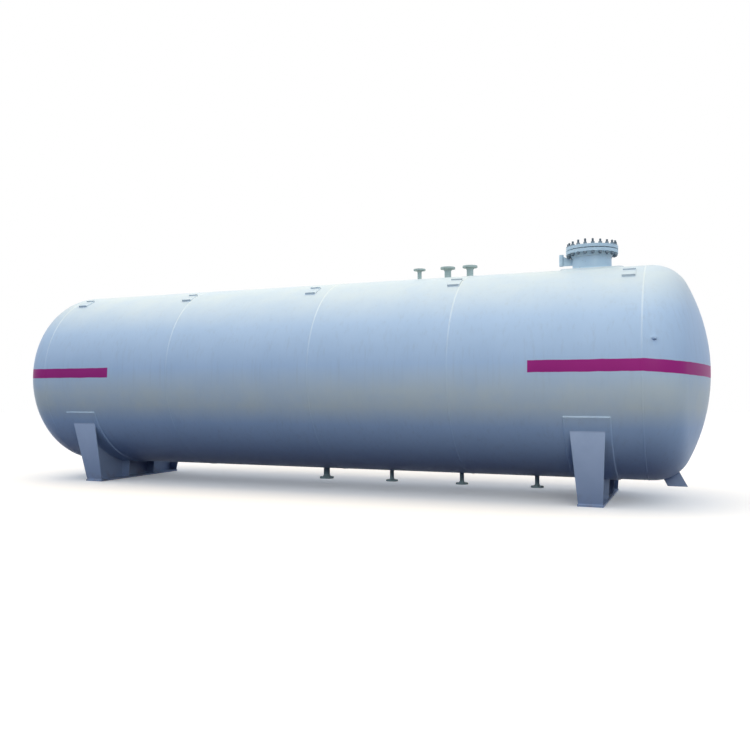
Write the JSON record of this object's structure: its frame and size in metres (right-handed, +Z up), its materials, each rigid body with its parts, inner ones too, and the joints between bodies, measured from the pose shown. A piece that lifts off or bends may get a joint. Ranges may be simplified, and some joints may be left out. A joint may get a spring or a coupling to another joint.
{
  "type": "horizontal hydrogen storage tank",
  "caption": "Horizontal welded pressure vessel with dished ends on two saddles, with a bolted manhole on top and flanged nozzles above and below, for storing compressed gas.",
  "frame": {"origin": "middle of the vessel on the floor, below its axis", "axes": "+X along the vessel towards the manhole end, +Y across it, +Z up"},
  "size_m": [9.866, 2.6316, 3.165],
  "materials": {
    "tank_paint": "semi-gloss",
    "saddle_paint": "semi-gloss",
    "manhole_paint": "semi-gloss",
    "nozzle_primer": "matte",
    "gasket": "matte"
  },
  "bodies": {
    "root": {"shell_course_1": "tank_paint", "shell_course_2": "tank_paint", "shell_course_3": "tank_paint", "shell_course_4": "tank_paint", "left_head": "tank_paint", "right_head": "tank_paint", "left_wear_pad": "tank_paint", "right_wear_pad": "tank_paint", "manhole_pad": "tank_paint", "front_cleats": "tank_paint", "rear_cleats": "tank_paint", "left_base_plate": "saddle_paint", "left_web": "saddle_paint", "left_end_ribs": "saddle_paint", "left_inner_ribs": "saddle_paint", "right_base_plate": "saddle_paint", "right_web": "saddle_paint", "right_end_ribs": "saddle_paint", "right_inner_ribs": "saddle_paint", "left_haul_lug": "saddle_paint", "right_haul_lug": "saddle_paint", "manhole_neck": "manhole_paint", "manhole_flange": "manhole_paint", "manhole_cover": "manhole_paint", "davit_socket": "manhole_paint", "davit_bracket": "manhole_paint", "top_nozzle_1": "nozzle_primer", "top_nozzle_2": "nozzle_primer", "top_nozzle_3": "nozzle_primer", "bottom_nozzle_1": "nozzle_primer", "bottom_nozzle_2": "nozzle_primer", "bottom_nozzle_3": "nozzle_primer", "bottom_nozzle_4": "nozzle_primer", "gauge_boss": "nozzle_primer", "manhole_gasket": "gasket"}
  },
  "joints": []
}
